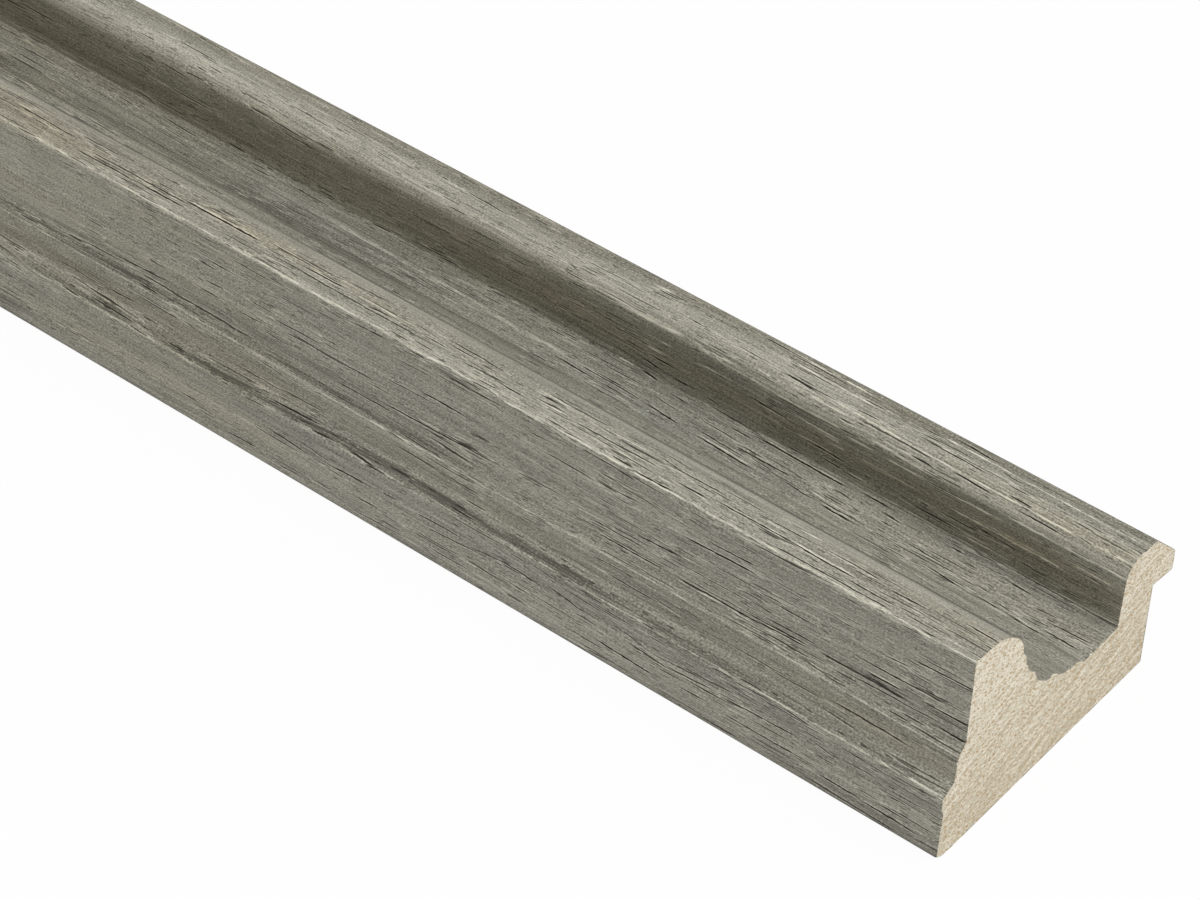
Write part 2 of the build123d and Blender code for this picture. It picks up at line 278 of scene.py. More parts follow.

# Broad bands where the tone lies darker, or paler where the depth is below zero: as for the pores.
# Most follow the stain; those at girths 59.4, 111.8, 127.3 and 131.0 are painted shade, where the
# section turns from the light or lies in the rim's shade.
STAIN_AND_SHADE_BANDS = [
    (-5, 45, 17.8, 17.9, 1.2, 0.12), (30, 80, 17.7, 18.0, 1.0, 0.2), (75, 112, 17.9, 18.2, 1.1, 0.55),
    (105, 128, 18.2, 18.4, 1.4, 0.65), (124, 146, 18.5, 18.4, 1.1, 0.6), (140, 172, 17.9, 18.1, 1.3, 0.5),
    (165, 194, 17.9, 18.0, 1.1, 0.48), (190, 232, 17.7, 17.5, 1.2, 0.38),
    (-5, 240, 20.2, 20.2, 2.0, -0.06), (-5, 75, 23.8, 23.6, 2.4, 0.1), (176, 232, 22.4, 21.8, 2.4, 0.05),
    (112, 240, 26.9, 26.7, 1.4, 0.4), (-5, 112, 27.4, 27.0, 1.4, 0.08), (0, 20, 30.9, 30.8, 1.4, 0.12),
    (14, 21, 30.5, 30.5, 0.9, 0.3), (0, 9, 31.6, 31.9, 0.9, 0.2), (120, 176, 29.6, 30.2, 1.6, 0.15),
    (-5, 240, 2.0, 2.0, 0.9, 0.3), (-5, 112, 106.6, 106.7, 1.6, 0.1),
    # painted shade: the band at girth 111.8 darkens the lip's wall, which lies in the rim's shade
    (-5, LENGTH + 5, 111.8, 111.8, 4.6, 0.15), (-5, LENGTH + 5, 120.2, 120.4, 3.4, -0.2),
    # painted shade: the band at girth 59.4 darkens the rim's roll where it turns away from the light
    (40, 92, 16.4, 16.2, 1.0, 0.15), (-5, LENGTH + 5, 59.4, 59.4, 1.5, 1.0),
    (80, 240, 47.2, 47.2, 3.0, -0.15), (120, 240, 49.3, 49.3, 1.4, 0.12), (-5, 60, 13.4, 13.9, 4.0, 0.12),
    # painted shade: the band at girth 127.3 darkens the lip's crowned top where it turns from the light
    (-5, 95, 36.8, 37.2, 4.4, -0.1), (-5, LENGTH + 5, 127.3, 127.5, 2.6, 0.14),
    (-5, 150, 56.8, 57.2, 2.4, -0.18), (170, 330, 97.6, 97.6, 3.4, 0.3),
    (96, 130, 109.4, 109.4, 1.6, 0.15), (196, 206, 53.8, 53.9, 1.2, 0.25),
    (186, 194, 53.9, 53.4, 1.2, 0.2), (50, 60, 54.3, 54.9, 1.4, 0.2), (216, 232, 5.2, 5.4, 1.6, 0.3),
    (150, 330, 101.5, 101.5, 9.0, 0.14), (-5, 60, 101.5, 101.5, 8.0, -0.06),
    # painted shade: the band at girth 131.0 darkens the lip's far side by the sight edge, turned from the
    # light
    (80, 165, 102.5, 102.5, 6.0, 0.07), (-5, LENGTH + 5, 131.0, 131.0, 2.6, 0.8),
    (-5, 60, 123.2, 123.4, 2.6, -0.12), (60, 240, 123.4, 123.4, 5.0, -0.14),
    (80, LENGTH + 5, 108.6, 108.6, 1.4, -0.2), (115, 176, 97.0, 97.2, 1.6, 0.35),
]

# Where the grey turns warmer, or cooler where the depth is below zero: as for the pores
TINTS = [
    (-5, 36, 53.5, 53.0, 5.5, 0.9), (0, 24, 48.6, 48.4, 2.4, 0.5), (122, 172, 52.0, 52.4, 3.0, 0.6),
    (205, 240, 49.5, 50.5, 5.0, 0.8), (-5, 240, 22.4, 22.4, 4.0, 0.55), (-5, 46, 122.6, 122.6, 3.5, 0.7),
    (46, 66, 127.0, 127.0, 2.0, 0.6), (30, 60, 117.0, 116.6, 3.0, 0.4), (-5, 30, 115.6, 115.2, 3.0, 0.5),
    (30, 90, 15.6, 15.6, 2.0, -0.7), (40, 170, 13.0, 12.8, 2.2, -0.8), (0, 42, 106.2, 106.2, 2.4, -0.9),
    (60, 200, 102.0, 102.0, 9.0, -0.8), (110, 150, 15.6, 15.8, 2.0, -0.9),
    (128, 142, 19.6, 19.8, 1.2, -0.9), (30, 56, 39.6, 40.2, 2.0, -0.4), (70, 78, 39.6, 39.6, 1.6, -0.5),
    (90, 100, 97.6, 98.6, 2.5, -0.6), (-5, 60, 112.8, 112.8, 7.0, 1.0),
    (60, LENGTH + 5, 112.8, 112.8, 8.0, 1.1), (150, LENGTH + 5, 25.0, 25.0, 80.0, 0.5),
    (100, LENGTH + 5, 55.0, 55.0, 12.0, 0.5), (120, LENGTH + 5, 113.0, 113.0, 40.0, 0.3),
    (-5, LENGTH + 5, 130.0, 130.0, 4.0, 0.6),
]

# Where the pores crowd, or are few where the depth is below zero: as for the pores
CROWDS = [
    (-5, 240, 50.3, 50.3, 6.5, 0.35), (-5, 240, 57.5, 57.5, 5.0, -0.4), (-5, 110, 9.5, 9.5, 9.0, 0.33),
    (110, 240, 9.0, 9.0, 12.0, -0.12), (0, 110, 33.0, 33.0, 12.0, 0.25), (-5, 240, 23.0, 23.0, 4.0, -0.2),
    (-5, 240, 17.5, 17.5, 2.6, 0.2), (110, 240, 36.0, 36.0, 14.0, -0.1), (-5, 110, 101.5, 101.5, 8.0, 0.1),
]

# Chips out of the coat along each cut: girth, half width, depth
CHIPS = [
    (0.8, 0.8, 0.35), (24.0, 0.5, 0.2), (47.0, 0.4, 0.2), (66.5, 1.2, 0.5), (70.5, 0.6, 0.3),
    (75.0, 0.4, 0.35), (79.0, 0.6, 0.3), (86.5, 1.3, 0.45), (91.5, 0.4, 0.3), (95.5, 0.7, 0.3),
    (99.5, 0.4, 0.2), (125.0, 0.6, 0.2), (130.0, 0.7, 0.35),
]

# The wear between the chips: the most and the least of it, its waves, and how deep it bares the wood
CUT_WEAR = 0.13
LEAST_WEAR = 0.02
WEAR_WAVE = 0.7
BARE_WEAR = 0.25

# How the streaks waver and taper, in millimetres: their waves, then the bands, then the thin lines
WAVER_WAVE = 3.5
BAND_TAPER = 14.0
BAND_WAVER = 0.25
LINE_TAPER = 1.8
LINE_WAVER = 0.08
LINE_SIDE_REACH = 0.75
LINE_END_REACH = 3.0
LINE_DEPTH_SHARE = 0.6  # of the reach to a side, where the line's depth still counts
FAR_OFF = 7.5  # in line widths, for the places that no line reaches

# The mesh: depths and steps in millimetres, and the smooth noise's random values
PORE_DEPTH = 0.02
SAW_DEPTH = 0.05
SAW_WAVE_ACROSS = 1.7
SAW_WAVE_UP = 3.1
COAT_LINE = 0.22
END_STEP = 1.0
END_JITTER = 0.3  # of the step
WHOLE_HULL = 0  # join all the places, also past the outline
SAME_PLACE = 1e-6
SHARP_ANGLE = 38
NEAR_SEED = 7
FAR_SEED = 8
WAVE_VALUES = 4096

# The grain: the planer's ripples in millimetres, and how steeply the end grain's pores rise and its
# rows fall, in degrees
RIPPLE_MM = 2.4
PORE_SLOPE = 13
ROW_SLOPE = 16

# Colours as screens give them. A multiplier tints the finish.
STAIN_DARK = (80, 78, 69)
STAIN_PALE = (204, 200, 184)
WARM_MULTIPLIER = (255, 246, 226)
COOL_MULTIPLIER = (229, 238, 245)
OPEN_PORE = (38, 34, 27)
RUBBED_WOOD = (224, 213, 190)
PLANED_DARK = (196, 178, 148)
PLANED_PALE = (232, 220, 196)
PLANED_PORE = (150, 122, 86)
END_DARK = (188, 175, 149)
END_PALE = (240, 232, 213)
END_PORE = (184, 153, 106)
COAT_EDGE = (140, 138, 122)
FLOOR_GREY = (215, 215, 215)

# How much the matt surfaces mirror, where 0.5 is as glossy as varnish
MATT = 0.2

# Material slots
FINISHED, RAW, END = range(3)

# The map for baked images: the sides below, the two end faces above them. The near part, and the
# finished faces beside the raw ones, get more room.
NEAR_PART = 300
NEAR_WEIGHT = 2.0
RAW_WEIGHT = 0.45
SIDES_ROOM = 0.84
END_MAP_EDGE = 0.005
END_MAP_HEIGHT = 0.14
END_MAP_WIDTH = 0.224
END_MAP_LEFT = {1: 0.01, -1: 0.26}

# The stage, in metres and watts
FLOOR_SIZE = 30
FLOOR_LIFT = 0.00005  # off the back's own plane, so that the two don't mix in a view from below
FLOOR_WHITE = 0.96
DOME_STRENGTH = 0.27
LIT_POINT = Vector((NEAR_END - 0.1, 0, 0.02))

# Lights: name, place, width and power
LIGHTS = [("key_light", (1.2, 0.0, 2.2), 1.4, 31), ("front_light", (0.9, -2.4, 1.2), 1.0, 6.5)]


# The mesh


def rounded(before, corner, after):
    """The points of one corner of the section, from its first tangent point to its last."""
    here = Vector(corner[:2])
    radius = corner[2]
    if radius == 0:
        return [here]
    back = (Vector(before[:2]) - here).normalized()
    ahead = (Vector(after[:2]) - here).normalized()
    half = back.angle(ahead) / 2
    centre = here + (back + ahead).normalized() * radius / math.sin(half)
    start = here + back * radius / math.tan(half) - centre
    turn = start.angle_signed(here + ahead * radius / math.tan(half) - centre)
    steps = max(3, round(abs(turn) * radius / FINE_STEP))
    return [centre + Matrix.Rotation(-turn * i / steps, 2) @ start for i in range(steps + 1)]


def run_step(girth):
    """The mesh's step on a straight stretch of the section at that girth."""
    if girth > FINISHED_GIRTH:
        return RAW_STEP
    if any(low <= girth <= high for low, high in SHOWN_GIRTHS):
        return FINE_STEP
    return PLAIN_STEP


def section():
    """The outline's points, clockwise from the foot as seen from the near end, and their girths."""
    count = len(CORNERS)
    arcs = [rounded(CORNERS[i - 1], CORNERS[i], CORNERS[(i + 1) % count]) for i in range(count)]
    points = []
    girth = 0
    for arc, after in zip(arcs, arcs[1:] + arcs[:1]):
        points.extend(arc)
        girth += sum((b - a).length for a, b in zip(arc, arc[1:]))
        run = after[0] - arc[-1]
        steps = max(1, round(run.length / run_step(girth + run.length / 2)))
        points.extend(arc[-1] + run * i / steps for i in range(1, steps))
        girth += run.length
    points = np.array([tuple(p) for p in points])
    steps = np.linalg.norm(np.roll(points, -1, axis=0) - points, axis=1)
    return points, np.concatenate([[0], np.cumsum(steps)])


def outward(points):
    """The unit normal at each point of the outline."""
    along = np.roll(points, -1, axis=0) - np.roll(points, 1, axis=0)
    normal = np.stack([-along[:, 1], along[:, 0]], axis=1)
    return normal / np.linalg.norm(normal, axis=1)[:, None]


def stations():
    """The mesh's places along the stick."""
    found = [0.0]
    for reach, step in STATION_RUNS:
        steps = max(1, round((reach - found[-1]) / step))
        found.extend(np.linspace(found[-1], reach, steps + 1)[1:])
    return np.array(found + [LENGTH])


def waves(at, seed):
    """Smooth noise from -1 to 1 along a line, with one wave about every two units."""
    values = np.random.default_rng(seed).uniform(-1, 1, WAVE_VALUES)
    low = np.floor(at).astype(int)
    part = at - low
    part = part * part * (3 - 2 * part)
    return values[low % WAVE_VALUES] * (1 - part) + values[(low + 1) % WAVE_VALUES] * part


def laid(streak, along, girth, taper, waver, seed):
    """How deep one streak lies at each place, tapered at its ends, and how far off its middle that is."""
    start, end, low, high, _, depth = streak
    ramp = min(taper, (end - start) / 2)
    ends = np.clip((along - start) / ramp + 0.5, 0, 1) * np.clip((end - along) / ramp + 0.5, 0, 1)
    middle = low + (high - low) * np.clip((along - start) / (end - start), 0, 1)
    return depth * ends, girth - middle - waver * waves(along / WAVER_WAVE, seed)


def soft_layer(streaks, along, girth):
    """How deep the broad streaks lie together at each place."""
    total = np.zeros_like(along)
    for seed, streak in enumerate(streaks):
        depth, off = laid(streak, along, girth, BAND_TAPER, BAND_WAVER, seed)
        total += depth * np.exp2(-(off * 2 / streak[4]) ** 2)
    return total


def crowded(one, other):
    """Whether two thin streaks come so near that they would claim the same vertices."""
    gap_along = max(one[0], other[0]) - min(one[1], other[1])
    gap_across = max(min(one[2:4]), min(other[2:4])) - min(max(one[2:4]), max(other[2:4]))
    return gap_along < 2 * LINE_END_REACH and gap_across < 2 * LINE_SIDE_REACH


def spread_out(streaks):
    """The thin streaks in as few sets as keep those of each set clear of each other."""
    sets = []
    for streak in sorted(streaks):
        room = [s for s in sets if not any(crowded(streak, other) for other in s)]
        if room:
            room[0].append(streak)
        else:
            sets.append([streak])
    return sets


def line_layer(streaks, along, girth):
    """For each place, how many line widths off its line it is, and how deep that line lies.

    The distance keeps its sign, so that it crosses zero on the line between any two vertices, and
    the depth is zero before the distance ends.
    """
    layer = np.zeros((*along.shape, 3))
    layer[..., 0] = FAR_OFF
    for seed, streak in enumerate(streaks):
        depth, off = laid(streak, along, girth, LINE_TAPER, LINE_WAVER, seed)
        beyond = np.maximum(streak[0] - along, along - streak[1])
        near = (np.abs(off) < LINE_SIDE_REACH) & (beyond < LINE_END_REACH)
        layer[near, 0] = off[near] / streak[4]
        deep = np.abs(off[near]) < LINE_SIDE_REACH * LINE_DEPTH_SHARE
        layer[near, 1] = np.where(deep, depth[near], 0)
    return layer


def cut_wear(girths, seed):
    """How far the coat is broken away at each point of the cut's edge."""
    worn = CUT_WEAR * (0.5 + 0.5 * waves(girths / WEAR_WAVE, seed)) ** 2
    for girth, half_width, depth in CHIPS:
        worn = worn + depth * np.exp(-((girths - girth) / half_width) ** 2)
    return np.where(girths < FINISHED_GIRTH, worn, LEAST_WEAR) + LEAST_WEAR


def inside(places, outline):
    """Whether each place is within the outline."""
    ahead = np.roll(outline, -1, axis=0)
    crossed = np.zeros(len(places), bool)
    for (y0, z0), (y1, z1) in zip(outline, ahead):
        if z0 != z1:
            level = (places[:, 1] < z0) != (places[:, 1] < z1)
            crossed ^= level & (places[:, 0] < y0 + (places[:, 1] - z0) * (y1 - y0) / (z1 - z0))
    return crossed


def end_face(outline, normals, seed):
    """The places within a cut's outline, and the triangles that join them to it and to each other."""
    border = outline - normals * COAT_LINE
    low, high = outline.min(axis=0), outline.max(axis=0)
    across, up = np.meshgrid(*(np.arange(a, b, END_STEP) for a, b in zip(low, high)))
    grid = np.column_stack([across.ravel(), up.ravel()])
    grid += np.random.default_rng(seed).uniform(-END_JITTER, END_JITTER, grid.shape) * END_STEP
    grid = grid[inside(grid, outline)]
    gap = np.linalg.norm(grid[:, None] - outline[None], axis=2).min(axis=1)
    within = np.concatenate([border, grid[gap > COAT_LINE + END_STEP / 2]])
    places = [Vector(p) for p in np.concatenate([outline, within])]
    joined = delaunay_2d_cdt(places, [], [range(len(outline))], WHOLE_HULL, SAME_PLACE, True)
    source = np.array([origin[0] for origin in joined[3]])
    triangles = source[np.array(joined[2])]
    middles = np.concatenate([outline, within])[triangles].mean(axis=1)
    return within, triangles[inside(middles, outline)]


class Mesh:
    """Vertices and faces with their places on the stick, collected before Blender gets them."""

    def __init__(self):
        self.vertices = []
        self.faces = []
        self.slots = []
        self.places = []
        self.flat = []

    def count(self):
        return sum(len(v) for v in self.vertices)

    def add(self, faces, slots, places, flat):
        """Faces by vertex, the material slot of each, and each corner's place and place on the map."""
        self.faces += faces.tolist()
        self.slots += list(slots)
        self.places.append(places.reshape(-1, 3))
        self.flat.append(flat.reshape(-1, 2))


def share_out(lengths, weights, room):
    """Each length's start and end when they share the room by weight, in order."""
    edges = np.concatenate([[0], np.cumsum(lengths * weights)])
    return edges * room / edges[-1]


def add_sides(mesh, sides, places, girths):
    """The quads round the stick. The map gives more room to the near part and to the finished faces."""
    rows, count = sides.shape[:2]
    mesh.vertices.append(sides.reshape(-1, 3))
    row, column = (a.ravel() for a in np.meshgrid(range(rows - 1), range(count), indexing="ij"))
    after = (column + 1) % count
    quads = np.stack([row, row, row + 1, row + 1], axis=1) * count
    quads = quads + np.stack([column, after, after, column], axis=1)
    rows_at = np.stack([row, row, row + 1, row + 1], axis=1)
    columns_at = np.stack([column, column + 1, column + 1, column], axis=1)
    raw = (girths[column] + girths[column + 1]) / 2 > FINISHED_GIRTH
    level = np.zeros_like(rows_at, float)
    near_weight = np.where(places[1:] < NEAR_PART, NEAR_WEIGHT, 1.0)
    side_weight = np.where(girths[1:] < FINISHED_GIRTH, 1.0, RAW_WEIGHT)
    map_along = share_out(np.diff(places), near_weight, 1.0)
    map_up = share_out(np.diff(girths), side_weight, SIDES_ROOM)
    mesh.add(
        quads,
        np.where(raw, RAW, FINISHED),
        np.stack([places[rows_at], girths[columns_at], level], axis=2),
        np.stack([map_along[rows_at], map_up[columns_at]], axis=2),
    )


def add_end(mesh, ring, first, normals, place, facing, seed):
    """One cut's face, just within the ring of vertices that starts at first."""
    within, triangles = end_face(ring, normals, seed)
    marks = waves(within[:, 0] / SAW_WAVE_ACROSS + within[:, 1] / SAW_WAVE_UP, seed)
    depth = SAW_DEPTH * (0.5 + 0.5 * marks)
    start = mesh.count()
    mesh.vertices.append(np.column_stack([place - facing * depth * MM, within * MM]))
    index = np.concatenate([first + np.arange(len(ring)), start + np.arange(len(within))])
    flat = np.concatenate([ring, within])
    triangles = triangles[:, ::facing]
    corners = flat[triangles]
    left = END_MAP_LEFT[facing]
    across = (corners[..., 0] - FRONT) / (SIGHT_EDGE - FRONT) * END_MAP_WIDTH
    up = corners[..., 1] / HEIGHT * END_MAP_HEIGHT
    mesh.add(
        index[triangles],
        np.full(len(triangles), END),
        np.concatenate([corners, np.full_like(corners[..., :1], facing)], axis=2),
        np.stack([left + across, 1 - END_MAP_HEIGHT - END_MAP_EDGE + up], axis=2),
    )


def build_stick():
    """The stick as one mesh: its finished and raw sides, and an end face at each cut."""
    points, girths = section()
    normals = outward(points)
    places = stations()
    along, girth = np.meshgrid(places, girths[:-1], indexing="ij")
    layers = {
        # the broad bands: stain, and painted shade where the section turns from the light
        "stain_and_shade": soft_layer(STAIN_AND_SHADE_BANDS, along, girth),
        "tint": soft_layer(TINTS, along, girth),
        "crowd": soft_layer(CROWDS, along, girth),
        "bare": np.zeros_like(along),
    }
    sunk = np.zeros_like(along)
    for name, streaks in (("pores", PORE_SETS), ("pales", PALE_SETS)):
        for number, chosen in enumerate(streaks):
            layers[f"{name}_{number}"] = line_layer(chosen, along, girth)
    for number in range(len(PORE_SETS)):
        off, depth, _ = np.moveaxis(layers[f"pores_{number}"], 2, 0)
        sunk = np.maximum(sunk, PORE_DEPTH * depth * np.exp2(-(2 * off) ** 2))
    for end, seed in ((0, NEAR_SEED), (-1, FAR_SEED)):
        sunk[end] = cut_wear(girths[:-1], seed)
        layers["bare"][end] = np.clip(sunk[end] / BARE_WEAR, 0, 1)
    outline = points[None] - normals[None] * sunk[..., None]
    sides = np.concatenate([NEAR_END - along[..., None] * MM, outline * MM], axis=2)

    mesh = Mesh()
    add_sides(mesh, sides, places, girths)
    last_ring = (len(places) - 1) * len(points)
    add_end(mesh, outline[0], 0, normals, NEAR_END, 1, NEAR_SEED)
    add_end(mesh, outline[-1], last_ring, normals, NEAR_END - LENGTH * MM, -1, FAR_SEED)
    layers["skin"] = np.ones_like(along)
    return blender_mesh(mesh, layers)


def blender_mesh(mesh, layers):
    """The collected mesh as a Blender object, with its layers, its places and its map."""
    data = bpy.data.meshes.new("moulding_stick")
    data.from_pydata(np.concatenate(mesh.vertices).tolist(), [], mesh.faces)
    for name, values in layers.items():
        parts = values.size // layers["skin"].size
        padded = np.zeros(mesh.count() * parts, np.float32)
        padded[: values.size] = values.ravel()
        kind, field = {1: ("FLOAT", "value"), 3: ("FLOAT_VECTOR", "vector")}[parts]
        data.attributes.new(name, kind, "POINT").data.foreach_set(field, padded)
    places = np.concatenate(mesh.places).astype(np.float32)
    data.attributes.new("grain_at", "FLOAT_VECTOR", "CORNER").data.foreach_set("vector", places.ravel())
    flat = np.concatenate(mesh.flat).astype(np.float32)
    data.uv_layers.new(name="OFBake").data.foreach_set("uv", flat.ravel())
    data.polygons.foreach_set("material_index", np.array(mesh.slots, np.int32))
    data.polygons.foreach_set("use_smooth", np.ones(len(mesh.faces), bool))
    data.set_sharp_from_angle(angle=math.radians(SHARP_ANGLE))
    data.update()
    stick = bpy.data.objects.new("moulding_stick", data)
    bpy.context.scene.collection.objects.link(stick)
    return stick


# Materials


def colour(shown):
    """A colour as screens give it, 0 to 255, in the linear values that shaders take."""
    parts = [part / 255 for part in shown]
    return (*(p / 12.92 if p <= 0.04045 else ((p + 0.055) / 1.055) ** 2.4 for p in parts), 1.0)


class Shader:
    """A new material, with short ways to add nodes that follow the grain."""

    def __init__(self, name):
        self.material = bpy.data.materials.new(name)
        self.material.use_nodes = True
        self.tree = self.material.node_tree
        self.surface = self.tree.nodes["Principled BSDF"]
        self.surface.inputs["Specular IOR Level"].default_value = MATT
        self.along, self.across = self.parts(self.layer("grain_at", "Vector"))[:2]

    def add(self, kind, values, **settings):
        """A node with its settings, and with each named or numbered input fed or set."""
        node = self.tree.nodes.new(kind)
        for name, value in settings.items():
            setattr(node, name, value)
        for name, value in values.items():
            if isinstance(value, bpy.types.NodeSocket):
                self.tree.links.new(value, node.inputs[name])
            else:
                node.inputs[name].default_value = value
        return node

    def layer(self, name, output="Fac"):
        """One of the mesh's layers."""
        return self.add("ShaderNodeAttribute", {}, attribute_name=name).outputs[output]

    def parts(self, vector):
        return self.add("ShaderNodeSeparateXYZ", {0: vector}).outputs

    def math(self, operation, *values):
        return self.add("ShaderNodeMath", dict(enumerate(values)), operation=operation).outputs[0]

    def plus(self, *terms):
        total = terms[0]
        for term in terms[1:]:
            total = self.math("ADD", total, term)
        return total

    def times(self, *factors):
        total = factors[0]
        for factor in factors[1:]:
            total = self.math("MULTIPLY", total, factor)
        return total

    def eased(self, value, start, end, low=0.0, high=1.0):
        """low up to start, high from end on, and a soft change between them."""
        values = {"Value": value, "From Min": start, "From Max": end, "To Min": low, "To Max": high}
        return self.add("ShaderNodeMapRange", values, interpolation_type="SMOOTHSTEP").outputs[0]

    def stretched(self, length, width, seed):
        """The grain's own coordinates, in cells of that length and width in millimetres."""
        along = self.math("MULTIPLY_ADD", self.along, 1 / length, 17.3 * seed)
        across = self.math("MULTIPLY_ADD", self.across, 1 / width, 5.9 * seed)
        return self.add("ShaderNodeCombineXYZ", {0: along, 1: across}).outputs[0]

    def noise(self, length, width, seed, detail=2.0):
        """Noise about zero, in grains of that length and width."""
        values = {"Vector": self.stretched(length, width, seed), "Scale": 1.0, "Detail": detail}
        noise = self.add("ShaderNodeTexNoise", values, noise_dimensions="2D")
        return self.math("SUBTRACT", noise.outputs[0], 0.5)

    def cells(self, length, width, seed):
        """Scattered spots of that spacing: the distance to the nearest, and its random numbers."""
        values = {"Vector": self.stretched(length, width, seed), "Scale": 1.0, "Randomness": 1.0}
        cells = self.add("ShaderNodeTexVoronoi", values, voronoi_dimensions="2D")
        return cells.outputs["Distance"], self.parts(cells.outputs["Color"])

    def mix(self, factor, first, second, blend="MIX"):
        """The first colour, turned to the second by the factor."""
        values = {0: factor, 6: first, 7: second}
        settings = {"data_type": "RGBA", "blend_type": blend}
        return self.add("ShaderNodeMix", values, **settings).outputs[2]

    def finish(self, base, roughness, height):
        """Join colour, roughness and a height in millimetres to the surface."""
        bump = self.add("ShaderNodeBump", {"Height": height, "Distance": MM, "Strength": 1.0})
        self.tree.links.new(base, self.surface.inputs["Base Color"])
        self.tree.links.new(roughness, self.surface.inputs["Roughness"])
        self.tree.links.new(bump.outputs[0], self.surface.inputs["Normal"])
        return self.material


def wandering_grain(shader, long_waver, short_waver):
    """Let the grain drift across the stick along its length, in long bends and short ones."""
    long_bend = shader.times(shader.noise(120, 14, 1, 1.0), long_waver)
    short_bend = shader.times(shader.noise(7, 2.2, 2, 1.0), short_waver)
    shader.across = shader.plus(shader.across, long_bend, short_bend)


def dashes(shader, length, width, seed, kept):
    """Open pores: how dark each place is, and how much of a pale edge it has."""
    distance, chance = shader.cells(length, width, seed)
    there = shader.math("LESS_THAN", chance[0], kept)
    weight = shader.times(there, shader.eased(chance[1], 0.0, 1.0, 0.6, 1.0))
    dark = shader.times(weight, shader.eased(distance, 0.12, 0.18, 1.0, 0.0))
    edge = shader.times(weight, shader.eased(distance, 0.34, 0.22, 0.0, 1.0))
    return dark, shader.math("SUBTRACT", edge, dark)


def drawn_lines(shader, name, sets, ragged):
    """The listed thin lines, crisp and ragged at their edges, and the halo beside them."""
    lines = halo = 0.0
    for number in range(sets):
        off, depth, _ = shader.parts(shader.layer(f"{name}_{number}", "Vector"))
        off = shader.plus(shader.math("ABSOLUTE", off), ragged)
        body = shader.times(shader.eased(off, 0.42, 0.6, 1.35, 0.0), depth)
        wide = shader.times(shader.eased(off, 0.9, 1.4, 1.35, 0.0), depth)
        lines = shader.math("MAXIMUM", body, lines)
        halo = shader.math("MAXIMUM", wide, halo)
    return lines, shader.math("SUBTRACT", halo, lines)


def grey_finish():
    """A matt grey stain on open-pored wood: dark in the pores, pale where it is rubbed."""
    shader = Shader("grey_finish")
    wandering_grain(shader, 5.0, 0.3)
    crowding = shader.plus(0.24, shader.times(shader.noise(60, 3.2, 3), 1.4), shader.layer("crowd"))
    crowding = shader.math("MINIMUM", crowding, 0.6)
    long_dark, long_edge = dashes(shader, 38.0, 0.9, 4, crowding)
    short_dark, short_edge = dashes(shader, 16.0, 0.8, 5, crowding)
    tiny_dark, tiny_edge = dashes(shader, 6.0, 0.6, 18, shader.plus(crowding, 0.25))
    ragged = shader.noise(2.2, 0.2, 6)
    placed, placed_edge = drawn_lines(shader, "pores", len(PORE_SETS), ragged)
    pale, _ = drawn_lines(shader, "pales", len(PALE_SETS), ragged)
    dark = shader.math("MAXIMUM", long_dark, short_dark)
    dark = shader.math("MAXIMUM", dark, shader.times(tiny_dark, 0.8))
    dark = shader.math("MAXIMUM", dark, placed)
    edge = shader.plus(long_edge, short_edge, shader.times(tiny_edge, 0.4), placed_edge)

    lines = shader.eased(shader.noise(26, 0.22, 17), -0.04, 0.08)
    tone = shader.plus(
        0.34,
        shader.times(shader.noise(190, 6.5, 7), 0.22),
        shader.times(shader.noise(80, 1.5, 8), 0.25),
        shader.times(shader.noise(30, 0.3, 9), 0.3),
        shader.times(shader.noise(7.0, 0.24, 10), 0.42),
        shader.times(shader.noise(0.5, 0.24, 11, 1.0), 0.7),
        # the broad bands: stain, and painted shade where the section turns from the light
        shader.times(shader.layer("stain_and_shade"), shader.plus(-0.25, shader.times(lines, -0.65))),
        shader.times(pale, shader.eased(shader.noise(4, 1, 19), -0.1, 0.1, 0.2, 0.6)),
        shader.times(edge, 0.22),
    )
    base = shader.mix(shader.eased(tone, -0.1, 1.1), colour(STAIN_DARK), colour(STAIN_PALE))
    hue = shader.plus(shader.times(shader.noise(90, 5, 12), 1.2), shader.times(shader.layer("tint"), 0.7))
    base = shader.mix(shader.eased(hue, 0.0, 1.2, 0.0, 0.55), base, colour(WARM_MULTIPLIER), "MULTIPLY")
    base = shader.mix(shader.eased(hue, 0.0, -1.2, 0.0, 0.55), base, colour(COOL_MULTIPLIER), "MULTIPLY")
    base = shader.mix(dark, base, colour(OPEN_PORE))
    worn = shader.eased(shader.plus(shader.layer("bare"), shader.noise(0.8, 0.8, 13)), 0.5, 0.7)
    base = shader.mix(worn, base, colour(RUBBED_WOOD))
    rough = shader.plus(0.6, shader.times(dark, 0.2), shader.times(shader.noise(12, 0.5, 14), 0.3))
    height = shader.plus(
        shader.times(dark, -0.05),
        shader.times(shader.noise(9, 0.28, 15), 0.05),
        shader.times(shader.noise(0.5, 0.35, 16), 0.02),
    )
    return shader.finish(base, rough, height)


